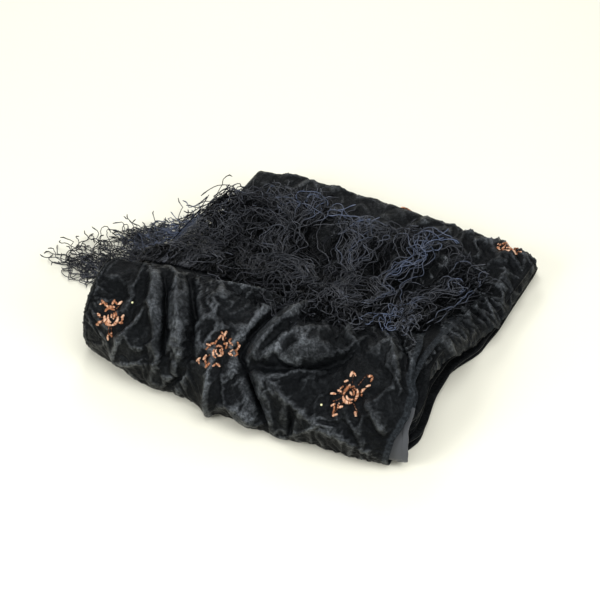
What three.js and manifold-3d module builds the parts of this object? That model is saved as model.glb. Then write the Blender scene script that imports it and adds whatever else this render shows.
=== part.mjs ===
// Evening stole of crushed velvet: folded lengthwise in two, folded up on itself and laid down, with its fringe on top.
// Millimetres, +Z up. Here x runs along the folds from the lengthwise fold on the left to the hems on the right,
// y runs from the front fold to the back fold, and z = 0 is the surface that the stole lies on.

import * as THREE from "three";
import { mergeVertices } from "three/addons/utils/BufferGeometryUtils.js";
import Module from "manifold-3d";

const { clamp, degToRad, lerp, smoothstep } = THREE.MathUtils;
const wasm = await Module();
wasm.setup();

// Thicknesses
const CLOTH = 2; // one ply of velvet with its pile
const GAP = 0.3; // air between plies that lie on each other, and at a seam
const LEVEL = CLOTH + GAP; // from one ply down to the next
const EASE = 0.25; // more air over the hidden layers
const HEM_RAISE = 0.7; // how far a turned hem stands above its ply
const HEM_WIDTH = 6;

// The outline of the folded cloth across the folds, a row for each station along x.
// nose: the foremost point of the front fold, with the depth of the curl under it. crown: the highest point.
// hemY: the end hem of the top ply. footY: where the slope behind the crown meets the flat back. backY: the back fold.
const SECTIONS = [
  { x: -190, noseY: 4, noseZ: 24, noseR: 16, crownY: 56, crownZ: 77, hemY: 62, footY: 185, stackZ: 33, backY: 296 },
  { x: -100, noseY: -8, noseZ: 15, noseR: 17, crownY: 60, crownZ: 78, hemY: 76, footY: 195, stackZ: 33, backY: 311 },
  { x: 0, noseY: -13, noseZ: 13, noseR: 17, crownY: 70, crownZ: 73, hemY: 93, footY: 205, stackZ: 33, backY: 311 },
  { x: 90, noseY: -8, noseZ: 13, noseR: 17, crownY: 74, crownZ: 67, hemY: 108, footY: 210, stackZ: 33, backY: 306 },
  { x: 160, noseY: 4, noseZ: 13, noseR: 17, crownY: 76, crownZ: 61, hemY: 140, footY: 215, stackZ: 33, backY: 298 },
];
const FULLNESS = 1.05; // 1 makes the front an ellipse, and more makes it flatter
const FOLD_R = 13.4; // radius of the back fold, to the outline

// Where each stretch of the outline starts, counted as v from the floor at the front, 0, to under the back fold, 2.
const NOSE_V = 0.2;
const CROWN_V = 0.78;
const HEM_V = 1;
const FOOT_V = 1.6;
const FOLD_V = 1.85;
const V_LENGTH = 160; // millimetres of cloth for each unit of v
const V_STEP = 0.05; // every ply has a row of points at each step, and closer ones round the back fold
const UNDER_FOLD_V = 1.985;
const V_STOPS = [
  ...Array.from({ length: 37 }, (_, i) => i * V_STEP),
  ...[0, 0.25, 0.4, 0.55, 0.7, 0.85, 1].map((share) => lerp(FOLD_V, UNDER_FOLD_V, share)),
];

// The hems on the right of the front stretch: where the upper ply and the under ply end.
const FRONT_HEMS = [
  { v: 0, upperX: 124, underX: 142 },
  { v: 0.2, upperX: 126, underX: 141 },
  { v: 0.45, upperX: 134, underX: 140 },
  { v: 0.6, upperX: 136, underX: 139 },
  { v: 0.78, upperX: 124, underX: 129 },
  { v: 1, upperX: 112, underX: 126 },
  { v: 1.35, upperX: 100, underX: 125 },
];
const UNDER_PLY_LEFT_X = 70;
const UNDER_PLY_END_V = 1.3;

// The lengthwise fold at the left of the front stretch, a rounded end that lifts off the floor.
const CURL_U = 0.14; // share of the stretch that turns in
const CURL_X = -166;
const CURL_R = 22;
const CURL_TURN = degToRad(105);
const CURL_SHRINK = 0.2;
const CURL_CENTRE_Z = 34;

// The back stretch and the hidden layers: where they end on the left and the right.
const BACK_LEFT_X = -153;
const BACK_RIGHT = [
  { y: 90, x: 130 },
  { y: 150, x: 142 },
  { y: 205, x: 151 },
  { y: 310, x: 154 },
];
const LAYERS_LEFT = [
  { y: 0, x: -165 },
  { y: 80, x: -163 },
  { y: 130, x: -149 },
  { y: 310, x: -148 },
];
const LAYERS_RIGHT = [
  { y: 0, x: 128 },
  { y: 30, x: 137 },
  { y: 90, x: 129 },
  { y: 120, x: 129 },
  { y: 175, x: 146 },
  { y: 215, x: 149 },
  { y: 310, x: 152 },
];

// The largest folds of the front stretch: ridges, and troughs with a height below 0.
const FRONT_LOFT = 2; // the ply lies this far off the layers, so that a trough has room
const FRONT_FOLDS = [
  { fromX: -138, fromV: 0.68, toX: -150, toV: 0.2, width: 6, height: 3.5 },
  { fromX: -140, fromV: 0.86, toX: -104, toV: 0.18, width: 11, height: 5.5 },
  { fromX: -112, fromV: 0.7, toX: -90, toV: 0.24, width: 8, height: -4 },
  { fromX: -118, fromV: 0.96, toX: -74, toV: 0.3, width: 10, height: 5.5 },
  { fromX: -90, fromV: 0.8, toX: -62, toV: 0.42, width: 8, height: -3.5 },
  { fromX: -50, fromV: 0.5, toX: -44, toV: 0.12, width: 8, height: 5 },
  { fromX: -44, fromV: 0.3, toX: 36, toV: 0.14, width: 10, height: 5 },
  { fromX: -28, fromV: 0.52, toX: 40, toV: 0.2, width: 7, height: -5 },
  { fromX: -40, fromV: 0.48, toX: 26, toV: 0.96, width: 9, height: 6 },
  { fromX: 4, fromV: 0.54, toX: 58, toV: 0.7, width: 12, height: 7 },
  { fromX: -12, fromV: 0.42, toX: 70, toV: 0.6, width: 7, height: -4 },
  { fromX: 36, fromV: 0.36, toX: 122, toV: 0.3, width: 7, height: 4 },
  { fromX: 30, fromV: 0.16, toX: 88, toV: 0.38, width: 8, height: 4 },
  { fromX: 84, fromV: 0.56, toX: 120, toV: 0.28, width: 7, height: -3 },
  { fromX: 76, fromV: 0.9, toX: 112, toV: 0.7, width: 9, height: 4.5 },
];

// The largest folds of the back stretch.
const BACK_LOFT = 0.4;
const BACK_FOLDS = [
  { fromX: -130, fromV: 1.5, toX: -96, toV: 1.84, width: 8, height: 2.6 },
  { fromX: -70, fromV: 1.84, toX: -20, toV: 1.6, width: 8, height: 2.4 },
  { fromX: 0, fromV: 1.6, toX: 34, toV: 1.82, width: 9, height: 2.6 },
  { fromX: 62, fromV: 1.84, toX: 84, toV: 1.6, width: 7, height: 2.8 },
  { fromX: 96, fromV: 1.84, toX: 140, toV: 1.66, width: 7, height: 2.8 },
  { fromX: 96, fromV: 1.66, toX: 138, toV: 1.5, width: 7, height: 2.8 },
  { fromX: 106, fromV: 1.56, toX: 134, toV: 1.44, width: 6, height: 2.4 },
];

// The edges of the hidden layers, from the outside in: how much of the outline is left, and how far the ply stands out.
const HEM_RINGS = [
  { share: 1, out: 0 },
  { share: 0.93, out: 5 },
  { share: 0.8, out: 5 },
  { share: 0.74, out: -3 },
  { share: 0.66, out: 4 },
  { share: 0.52, out: 4 },
  { share: 0.46, out: -4 },
  { share: 0.38, out: 2 },
  { share: 0.22, out: 2 },
  { share: 0.14, out: -4 },
];
const FOLD_RINGS = [
  { share: 1, out: 0 },
  { share: 0.94, out: 3.5 },
  { share: 0.84, out: 5 },
  { share: 0.74, out: 3.5 },
  { share: 0.66, out: -1 },
  { share: 0.56, out: 3 },
  { share: 0.42, out: 3.5 },
  { share: 0.3, out: -1 },
];
const EDGE_SWAY = 2.2; // how unevenly the edges of the hidden layers lie
const LOWER_FOLD_TOP = 9.8; // the fold under the back stretch reaches from the floor to here
const UNDERCUT = 1.5; // the layers stand back this far from the edge of a ply that ends against them

// The fringe: yarns knotted into a heading strip along the end hem of the top ply.
const HEADING_LEFT_X = -162;
const HEADING_RIGHT_X = 106;
const HEADING_WIDTH = 6;
const HEADING_GAP = 0.9; // from the end hem, which curves between its points
const STRAND_R = 0.95;
const STRAND_STEPS = 6;
const STRAND_REACH = [
  { x: -170, reach: 136 },
  { x: -120, reach: 165 },
  { x: -40, reach: 178 },
  { x: 30, reach: 172 },
  { x: 110, reach: 118 },
];
const SPILL_TURN = degToRad(78); // the yarns at the left end turn away by this much and fall to the floor
const SPILL_FALL = 42; // and fall over this distance
const FLOOR_CLEAR = 0.8; // and end just above it
const STRAND_LAYERS = [
  { count: 29, lift: 2.2, swing: 4, swings: 2.1, phase: 0 },
  { count: 28, lift: 6, swing: 6, swings: 1.6, phase: 2.1 },
  { count: 28, lift: 9.8, swing: 8, swings: 2.4, phase: 4.2 },
];

const VELVET = new THREE.MeshStandardMaterial({ color: 0x16181b, roughness: 0.6, metalness: 0 });
const VELVET_BACK = new THREE.MeshStandardMaterial({ color: 0x3a3c40, roughness: 0.8, metalness: 0 });
const YARN = new THREE.MeshStandardMaterial({ color: 0x23262e, roughness: 0.7, metalness: 0 });

// A row of a table at a place between its rows, with every column eased from one row to the next.
function rowAt(table, key, place) {
  const found = table.findIndex((row) => row[key] > place);
  const next = found < 0 ? table.length - 1 : Math.max(found, 1);
  const [before, after] = [table[next - 1], table[next]];
  const share = smoothstep(place, before[key], after[key]);
  return Object.fromEntries(Object.keys(before).map((name) => [name, lerp(before[name], after[name], share)]));
}

// The slope from the crown down to the flat back, as a height at y.
function slopeZ(section, y) {
  const share = clamp((y - section.crownY) / (section.footY - section.crownY), 0, 1);
  return section.stackZ + ((section.crownZ - section.stackZ) * (1 + Math.cos(Math.PI * share))) / 2;
}

// The outline across the folds at v, as y and z.
function outline(section, v) {
  const { noseY, noseZ, noseR, crownY, crownZ, hemY, footY, stackZ, backY } = section;
  if (v < NOSE_V) {
    const turn = ((v / NOSE_V) * Math.PI) / 2;
    return [noseY + noseR * (1 - Math.sin(turn)), noseZ * (1 - Math.cos(turn))];
  }
  if (v < CROWN_V) {
    const turn = (((v - NOSE_V) / (CROWN_V - NOSE_V)) * Math.PI) / 2;
    const [ahead, rise] = [Math.cos(turn) ** FULLNESS, Math.sin(turn) ** FULLNESS];
    return [crownY - (crownY - noseY) * ahead, noseZ + (crownZ - noseZ) * rise];
  }
  if (v < FOOT_V) {
    const [start, end] = v < HEM_V ? [CROWN_V, HEM_V] : [HEM_V, FOOT_V];
    const [startY, endY] = v < HEM_V ? [crownY, hemY] : [hemY, footY];
    const y = lerp(startY, endY, (v - start) / (end - start));
    return [y, slopeZ(section, y)];
  }
  if (v < FOLD_V) return [lerp(footY, backY - FOLD_R, (v - FOOT_V) / (FOLD_V - FOOT_V)), stackZ];
  const turn = ((v - FOLD_V) / (2 - FOLD_V)) * Math.PI;
  return [backY - FOLD_R + FOLD_R * Math.sin(turn), stackZ - FOLD_R + FOLD_R * Math.cos(turn)];
}

// A point of the cloth at x and v, moved in from the outline by depth.
function plyPoint(x, v, depth) {
  const section = rowAt(SECTIONS, "x", x);
  const step = 0.004;
  const [y, z] = outline(section, v);
  const [y0, z0] = outline(section, Math.max(v - step, 0));
  const [y1, z1] = outline(section, Math.min(v + step, 2));
  const length = Math.hypot(y1 - y0, z1 - z0);
  return new THREE.Vector3(x, y + (depth * (z1 - z0)) / length, z - (depth * (y1 - y0)) / length);
}

// The height of the outline over a place behind the nose.
function heightAt(x, y) {
  const section = rowAt(SECTIONS, "x", x);
  if (y >= section.crownY) return slopeZ(section, y);
  const ahead = clamp((section.crownY - y) / (section.crownY - section.noseY), 0, 1) ** (1 / FULLNESS);
  return section.noseZ + (section.crownZ - section.noseZ) * Math.sqrt(1 - ahead * ahead) ** FULLNESS;
}

// How far the folds of a table lift the cloth at x and v.
function foldLift(folds, x, v) {
  let lift = 0;
  for (const { fromX, fromV, toX, toV, width, height } of folds) {
    const [acrossX, acrossY] = [toX - fromX, (toV - fromV) * V_LENGTH];
    const [awayX, awayY] = [x - fromX, (v - fromV) * V_LENGTH];
    const along = clamp((awayX * acrossX + awayY * acrossY) / (acrossX ** 2 + acrossY ** 2), 0, 1);
    const distance = Math.hypot(awayX - along * acrossX, awayY - along * acrossY);
    const fullest = Math.sin(Math.PI * lerp(0.15, 0.85, along));
    lift += height * fullest * Math.exp(-((distance / width) ** 2));
  }
  return lift;
}

// A closed mesh from points and triangles.
function meshGeometry(points, triangles) {
  return new THREE.BufferGeometry().setFromPoints(points).setIndex(triangles);
}

// A wall of cloth: the outer side is surface(u, v) at the given shares and stops, and the inner side lies below it.
function wall(surface, shares, stops) {
  const columns = shares.length - 1;
  const rows = stops.length - 1;
  const outer = shares.map((u) => stops.map((v) => surface(u, v)));
  const points = outer.flat();
  const at = (i, j) => i * (rows + 1) + j;
  const inside = points.length;
  const inner = outer.map((column, i) =>
    column.map((point, j) => {
      const along = new THREE.Vector3().subVectors(outer[Math.min(i + 1, columns)][j], outer[Math.max(i - 1, 0)][j]);
      const up = new THREE.Vector3().subVectors(column[Math.min(j + 1, rows)], column[Math.max(j - 1, 0)]);
      return point.clone().addScaledVector(along.cross(up).normalize(), -CLOTH);
    }),
  );
  points.push(...inner.flat());
  const triangles = [];
  for (let i = 0; i < columns; i++) {
    for (let j = 0; j < rows; j++) {
      const [a, b, c, d] = [at(i, j), at(i + 1, j), at(i + 1, j + 1), at(i, j + 1)];
      triangles.push(a, b, c, a, c, d);
      triangles.push(a + inside, c + inside, b + inside, a + inside, d + inside, c + inside);
    }
  }
  const rim = [];
  for (let i = 0; i < columns; i++) rim.push(at(i, 0));
  for (let j = 0; j < rows; j++) rim.push(at(columns, j));
  for (let i = columns; i > 0; i--) rim.push(at(i, rows));
  for (let j = rows; j > 0; j--) rim.push(at(0, j));
  rim.forEach((p, k) => {
    const q = rim[(k + 1) % rim.length];
    triangles.push(q, p, p + inside, q, p + inside, q + inside);
  });
  return meshGeometry(points, triangles);
}

// Even shares from 0 to 1, with two more at the end for a turned hem.
function sharesWithHem(columns, width) {
  const hem = HEM_WIDTH / width;
  const even = Array.from({ length: columns }, (_, i) => (i / columns) * (1 - 2 * hem));
  return [...even, 1 - hem * 1.4, 1 - hem, 1];
}

// The rows of points from one v to another.
function stopsBetween(startV, endV) {
  return V_STOPS.filter((v) => v > startV - V_STEP / 4 && v < endV + V_STEP / 4);
}

// How far a turned hem stands above its ply, at a distance from the edge.
function hemRaise(distance) {
  return distance <= HEM_WIDTH ? HEM_RAISE : 0;
}

// The upper ply of the front stretch: from the floor, round the front fold and over the crown to the end hem.
function frontUpperPly() {
  const width = 300;
  const surface = (u, v) => {
    const hemX = rowAt(FRONT_HEMS, "v", v).upperX;
    const curl = Math.max(1 - u / CURL_U, 0) * CURL_TURN;
    const x = u < CURL_U ? CURL_X - CURL_R * Math.sin(curl) : lerp(CURL_X, hemX, (u - CURL_U) / (1 - CURL_U));
    const calm = smoothstep(v, 0.02, 0.14) * (1 - smoothstep(v, 0.86, 0.98)) * (1 - smoothstep(x, hemX - 26, hemX - 8));
    const loft = Math.max(FRONT_LOFT + foldLift(FRONT_FOLDS, x, v), 0) * calm * Math.cos(Math.min(curl, Math.PI / 2));
    const point = plyPoint(x, v, -loft - hemRaise(hemX - x) * smoothstep(v, 0, 0.1));
    const { crownY } = rowAt(SECTIONS, "x", x);
    const kept = 1 - CURL_SHRINK * (1 - Math.cos(curl));
    point.y = lerp(crownY, point.y, kept);
    point.z = Math.max(lerp(CURL_CENTRE_Z, point.z, kept), 0);
    return point;
  };
  return wall(surface, sharesWithHem(32, width), stopsBetween(0, HEM_V));
}

// The under ply of the front stretch, where its hem shows beside the upper ply's and on over the slope.
function frontUnderPly() {
  const surface = (u, v) => {
    const hemX = rowAt(FRONT_HEMS, "v", v).underX;
    const x = lerp(UNDER_PLY_LEFT_X, hemX, u);
    const bare = rowAt(FRONT_HEMS, "v", v).upperX + 1 < x ? 1 : 0;
    const point = plyPoint(x, v, LEVEL - bare * hemRaise(hemX - x) * smoothstep(v, 0, 0.1));
    point.z = Math.max(point.z, LEVEL * (1 - smoothstep(v, 0, 0.05)), 0);
    return point;
  };
  return wall(surface, sharesWithHem(5, 60), stopsBetween(0, UNDER_PLY_END_V));
}

// The back stretch: from under the end hem, down the slope, over the flat back and round the back fold.
function backStretch() {
  const surface = (u, v) => {
    const rightX = rowAt(BACK_RIGHT, "y", outline(rowAt(SECTIONS, "x", 120), v)[0]).x;
    const x = lerp(BACK_LEFT_X, rightX, u);
    const calm = smoothstep(v, UNDER_PLY_END_V + V_STEP, 1.5) * (1 - smoothstep(v, 1.86, 1.95));
    const edge = smoothstep(x, BACK_LEFT_X, BACK_LEFT_X + 14) * (1 - smoothstep(x, rightX - 16, rightX - 5));
    const loft = Math.max(BACK_LOFT + foldLift(BACK_FOLDS, x, v), 0) * calm * edge;
    return plyPoint(x, v, 2 * LEVEL - loft);
  };
  return wall(surface, sharesWithHem(17, 300), stopsBetween(HEM_V - V_STEP, UNDER_FOLD_V));
}

// One outline of the hidden layers across the folds, at a share u of the way from their left end to their right.
function layersRing(u) {
  const depth = 3 * LEVEL + EASE;
  const endX = (y) => [rowAt(LAYERS_LEFT, "y", y).x, rowAt(LAYERS_RIGHT, "y", y).x];
  const place = (v) => {
    const [left, right] = endX(outline(rowAt(SECTIONS, "x", 0), v)[0]);
    return plyPoint(lerp(left, right, u), v, depth);
  };
  const ring = stopsBetween(V_STEP, UNDER_FOLD_V).map(place);
  const front = ring[0];
  const under = ring.at(-1);
  const radius = LOWER_FOLD_TOP / 2;
  const foldSteps = 4;
  ring.push(new THREE.Vector3(under.x, under.y - UNDERCUT, under.z));
  ring.push(new THREE.Vector3(under.x, under.y - UNDERCUT, LOWER_FOLD_TOP));
  for (let k = 0; k <= foldSteps; k++) {
    const turn = (k / foldSteps) * Math.PI;
    const y = under.y + 8 + radius * Math.sin(turn);
    ring.push(new THREE.Vector3(under.x, y, radius + radius * Math.cos(turn)));
  }
  const section = rowAt(SECTIONS, "x", front.x);
  const floorY = section.noseY + section.noseR + UNDERCUT;
  ring.push(new THREE.Vector3(front.x, floorY, 0));
  ring.push(new THREE.Vector3(front.x, floorY, front.z));
  return ring;
}

// The hidden layers as one rounded solid, with the edges of its plies showing on the right and its folds on the left.
function hiddenLayers() {
  const stations = 16;
  const inwards = (ring, { share, out }, side) =>
    ring.map((point, i) => {
      const section = rowAt(SECTIONS, "x", point.x);
      const spineY = clamp(point.y, section.noseY + 34, section.backY - 34);
      const spineZ = 0.45 * heightAt(point.x, spineY);
      const sway = EDGE_SWAY * Math.sin((i / ring.length) * 6 * Math.PI + share * 17) * (1 - share);
      return new THREE.Vector3(
        point.x + side * (out + sway),
        lerp(spineY, point.y, share),
        lerp(spineZ, point.z, share),
      );
    });
  const left = layersRing(0);
  const right = layersRing(1);
  const rings = [
    ...FOLD_RINGS.toReversed().map((row) => inwards(left, row, -1)),
    ...Array.from({ length: stations - 1 }, (_, k) => layersRing((k + 1) / stations)),
    ...HEM_RINGS.map((row) => inwards(right, row, 1)),
  ];
  const count = left.length;
  const points = rings.flat();
  const triangles = [];
  for (let r = 0; r + 1 < rings.length; r++) {
    for (let i = 0; i < count; i++) {
      const j = (i + 1) % count;
      const [a, b, c, d] = [r * count + i, (r + 1) * count + i, (r + 1) * count + j, r * count + j];
      triangles.push(a, b, c, a, c, d);
    }
  }
  const cap = (r, reverse) => {
    const flat = rings[r].map((point) => new THREE.Vector2(point.y, point.z));
    for (const [a, b, c] of THREE.ShapeUtils.triangulateShape(flat, [])) {
      const corners = [a, b, c].map((k) => r * count + k);
      const area = THREE.ShapeUtils.area([a, b, c].map((k) => flat[k]));
      triangles.push(...(area > 0 === reverse ? corners.reverse() : corners));
    }
  };
  cap(0, true);
  cap(rings.length - 1, false);
  return meshGeometry(points, triangles);
}

// The height that a yarn lies over: the folded cloth, and the floor beside it on the left.
function restHeight(x, y) {
  const edgeX = lerp(CURL_X, BACK_LEFT_X, smoothstep(y, 80, 130));
  const fall = smoothstep(x, edgeX - SPILL_FALL, edgeX);
  return heightAt(Math.max(x, edgeX), y) * fall;
}

// The path of one yarn of the fringe, from inside the heading.
function strandPath(layer, rootX) {
  const rootY = rowAt(SECTIONS, "x", rootX).hemY + HEADING_GAP + HEADING_WIDTH / 2;
  const { reach } = rowAt(STRAND_REACH, "x", rootX);
  const spill = 1 - smoothstep(rootX, HEADING_LEFT_X, HEADING_LEFT_X + 105);
  const stops = 12;
  const points = [];
  for (let k = 0; k <= stops; k++) {
    const share = k / stops;
    const turn = SPILL_TURN * spill * smoothstep(share, 0, 0.35);
    const swing = layer.swing * smoothstep(share, 0.02, 0.3);
    const sway = swing * Math.sin(2 * Math.PI * layer.swings * share + layer.phase + rootX / 45);
    const x = rootX - reach * share * Math.sin(turn) + sway * Math.cos(turn);
    const y = rootY + reach * share * Math.cos(turn) + sway * Math.sin(turn);
    const lift = lerp(-CLOTH / 2, layer.lift, smoothstep(share, 0, 0.13));
    points.push(new THREE.Vector3(x, y, Math.max(restHeight(x, y), FLOOR_CLEAR) + lift));
  }
  return new THREE.CatmullRomCurve3(points);
}

// A geometry as a solid that can be joined to others.
function solidOf(geometry) {
  const plain = new THREE.BufferGeometry().setAttribute("position", geometry.getAttribute("position"));
  const merged = mergeVertices(plain.setIndex(geometry.index), 1e-4);
  return new wasm.Manifold(
    new wasm.Mesh({
      numProp: 3,
      vertProperties: merged.getAttribute("position").array,
      triVerts: new Uint32Array(merged.index.array),
    }),
  );
}

// A solid back as a geometry.
function geometryOf(solid) {
  const { vertProperties, triVerts } = solid.getMesh();
  return new THREE.BufferGeometry()
    .setAttribute("position", new THREE.BufferAttribute(vertProperties, 3))
    .setIndex(new THREE.BufferAttribute(triVerts, 1));
}

// The fringe: its heading strip follows the end hem, and its yarns are joined to the strip at their roots.
function fringe() {
  const strip = wall(
    (u, share) => {
      const x = lerp(HEADING_LEFT_X, HEADING_RIGHT_X, u);
      const { hemY } = rowAt(SECTIONS, "x", x);
      const y = hemY + HEADING_GAP + HEADING_WIDTH * share;
      return new THREE.Vector3(x, y, heightAt(x, y));
    },
    Array.from({ length: 31 }, (_, i) => i / 30),
    [0, 1],
  );
  let solid = solidOf(strip);
  const corners = [90, 210, 330].map((turn) => degToRad(turn));
  const thread = new THREE.Shape(
    corners.map((turn) => new THREE.Vector2(STRAND_R * Math.cos(turn), STRAND_R * Math.sin(turn))),
  );
  STRAND_LAYERS.forEach((layer, level) => {
    for (let i = 0; i < layer.count; i++) {
      const share = (i + 0.26 + level / 3) / layer.count;
      const path = strandPath(layer, lerp(HEADING_LEFT_X + 2, HEADING_RIGHT_X - 2, share));
      const strand = new THREE.ExtrudeGeometry(thread, { steps: STRAND_STEPS, extrudePath: path, bevelEnabled: false });
      solid = solid.add(solidOf(strand));
    }
  });
  return geometryOf(solid);
}

// The whole stole, moved so that the middle of its underside is the origin.
function stole() {
  const group = new THREE.Group();
  const pieces = [
    ["hidden_layers", hiddenLayers(), VELVET],
    ["back_stretch", backStretch(), VELVET],
    ["front_under_ply", frontUnderPly(), VELVET_BACK],
    ["front_upper_ply", frontUpperPly(), VELVET],
    ["fringe", fringe(), YARN],
  ];
  for (const [name, geometry, material] of pieces) {
    const mesh = new THREE.Mesh(geometry, material);
    mesh.name = name;
    group.add(mesh);
  }
  const box = new THREE.Box3().setFromObject(group, true);
  const middle = box.getCenter(new THREE.Vector3());
  for (const mesh of group.children) mesh.position.set(-middle.x, -middle.y, -box.min.z);
  return group;
}

export default stole();
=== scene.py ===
import math

import bmesh
import bpy
import numpy as np
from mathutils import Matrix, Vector


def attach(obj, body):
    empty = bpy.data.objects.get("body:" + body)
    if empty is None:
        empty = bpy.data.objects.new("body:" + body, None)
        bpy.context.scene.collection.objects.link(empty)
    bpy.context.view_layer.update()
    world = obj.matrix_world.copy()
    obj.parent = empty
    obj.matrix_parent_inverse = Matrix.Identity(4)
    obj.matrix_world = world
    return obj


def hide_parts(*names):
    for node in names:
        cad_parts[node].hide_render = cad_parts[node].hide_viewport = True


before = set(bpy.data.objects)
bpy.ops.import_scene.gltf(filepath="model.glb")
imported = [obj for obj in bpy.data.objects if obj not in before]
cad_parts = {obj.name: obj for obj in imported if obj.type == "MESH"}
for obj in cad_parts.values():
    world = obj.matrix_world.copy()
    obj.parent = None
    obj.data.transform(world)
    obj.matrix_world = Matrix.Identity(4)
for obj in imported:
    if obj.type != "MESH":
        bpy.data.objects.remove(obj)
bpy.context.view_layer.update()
rng = np.random.default_rng(20)
scene = bpy.context.scene

# Sizes are in millimetres in the cloth's own frame: x along the folds, y from the front fold back, z up
cadOrigin = (-68.866, 146.310)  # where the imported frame's origin lies in it
thickness = 1.3
clothFloor, innerFloor = 0.3, 0.2  # least heights of the outer cloth, and of the layers and yarns

# x, noseY, noseZ, noseR, crownY, crownZ, hemY, footY, stackZ, backY
sections = np.array([
    (-190, 4, 24, 16, 56, 77, 62, 185, 33, 296),
    (-100, -8, 15, 17, 60, 78, 76, 195, 33, 311),
    (0, -13, 13, 17, 70, 73, 93, 205, 33, 311),
    (90, -8, 13, 17, 74, 67, 108, 210, 33, 306),
    (160, 4, 13, 17, 76, 61, 140, 215, 33, 298),
], float)
noseV, crownV, footV, foldV = 0.2, 0.78, 1.6, 1.85
fullness, foldR = 1.05, 13.4
vLength, backLength = 160.0, 300.0  # cloth in one unit of v, over the front turn and over the back
level = 2.3  # from the upper ply down to the under ply
hemSlope = 1.4  # width of the step at a turned hem


def unit(t):
    return np.clip(t, 0, 1)


def ease(t):
    t = unit(t)
    return t * t * (3 - 2 * t)


def mix(a, b, t):
    return a + (b - a) * t


# Every column of a table after the first, eased between its rows
def tableAt(rows, place):
    keys = rows[:, 0]
    k = np.clip(np.searchsorted(keys, place, side="right"), 1, len(keys) - 1)
    t = ease((place - keys[k - 1]) / (keys[k] - keys[k - 1]))
    return [mix(rows[k - 1, c], rows[k, c], t) for c in range(1, rows.shape[1])]


def crownLine(x):
    return tableAt(sections, x)[3]


def hemLine(x):
    return tableAt(sections, x)[5]


def slopeHeight(y, crownY, crownZ, footY, stackZ):
    share = unit((y - crownY) / (footY - crownY))
    return stackZ + (crownZ - stackZ) * (1 + np.cos(np.pi * share)) / 2


# The outline across the folds at v: 0 on the floor at the front, 1 at the end hem, 2 under the back fold
def outline(x, v):
    noseY, noseZ, noseR, crownY, crownZ, hemY, footY, stackZ, backY = tableAt(sections, x)
    under = unit(v / noseV) * np.pi / 2
    rise = unit((v - noseV) / (crownV - noseV)) * np.pi / 2
    ahead = unit(np.cos(rise)) ** fullness
    up = unit(np.sin(rise)) ** fullness
    toHem = mix(crownY, hemY, unit((v - crownV) / (1 - crownV)))
    slopeY = np.where(v < 1, toHem, mix(hemY, footY, unit((v - 1) / (footV - 1))))
    slopeZ = slopeHeight(slopeY, crownY, crownZ, footY, stackZ)
    flatY = mix(footY, backY - foldR, unit((v - footV) / (foldV - footV)))
    turn = unit((v - foldV) / (2 - foldV)) * np.pi
    where = [v < noseV, v < crownV, v < footV, v < foldV]
    ys = [noseY + noseR * (1 - np.sin(under)), crownY - (crownY - noseY) * ahead, slopeY, flatY]
    zs = [noseZ * (1 - np.cos(under)), noseZ + (crownZ - noseZ) * up, slopeZ, stackZ]
    y = np.select(where, ys, backY - foldR + foldR * np.sin(turn))
    z = np.select(where, zs, stackZ - foldR + foldR * np.cos(turn))
    return y, z


# The outline moved outwards by a lift, which is below 0 for the plies under it
def plyPoint(x, v, lift):
    y, z = outline(x, v)
    y0, z0 = outline(x, np.maximum(v - 0.01, 0))
    y1, z1 = outline(x, np.minimum(v + 0.01, 2))
    length = np.hypot(y1 - y0, z1 - z0)
    return y - lift * (z1 - z0) / length, z + lift * (y1 - y0) / length


def heightAt(x, y):
    noseY, noseZ, noseR, crownY, crownZ, hemY, footY, stackZ, backY = tableAt(sections, x)
    ahead = unit((crownY - y) / (crownY - noseY)) ** (1 / fullness)
    front = noseZ + (crownZ - noseZ) * np.sqrt(1 - ahead ** 2) ** fullness
    return np.where(y < crownY, front, slopeHeight(y, crownY, crownZ, footY, stackZ))


# Smooth noise on a plane, about -0.7 to 0.7, with a feature each unit
def waves(x, y, seed):
    period = 64
    angles = np.random.default_rng(seed).random((period, period)) * 2 * np.pi
    ix, iy = np.floor(x).astype(int), np.floor(y).astype(int)
    fx, fy = x - ix, y - iy

    def corner(a, b):
        angle = angles[(ix + a) % period, (iy + b) % period]
        return np.cos(angle) * (fx - a) + np.sin(angle) * (fy - b)

    near = mix(corner(0, 0), corner(1, 0), ease(fx))
    far = mix(corner(0, 1), corner(1, 1), ease(fx))
    return mix(near, far, ease(fy))


# Crushed cloth: puffed cells with sharp valleys, longer along one slant. Taken away, it gives sharp ridges
def crumple(x, y, amount, size, slant, seed):
    x, y = x / size, y / size
    bendX = x + 10 * waves(x / 36, y / 36, seed + 1)
    bendY = y + 10 * waves(x / 36, y / 36, seed + 2)
    a = bendX * math.cos(slant) + bendY * math.sin(slant)
    b = bendY * math.cos(slant) - bendX * math.sin(slant)
    large = (2 * np.abs(waves(a / 44, b / 24, seed + 3))) ** 0.6 - 0.6
    middle = (2 * np.abs(waves(a / 23, b / 14, seed + 4))) ** 0.6 - 0.6
    small = waves(a / 8, b / 5.5, seed + 5)
    where = 0.7 + 0.9 * waves(x / 55, y / 55, seed + 6)
    return amount * (4.2 * large + 2.2 * middle * where + 0.5 * small * where)


# A listed fold: points along it as (x, v), half width, height, lean to one side and sharpness
def crease(along, width, height, lean=0, sharp=1.5):
    return {"along": along, "width": width, "height": height, "lean": lean, "sharp": sharp}


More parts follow.
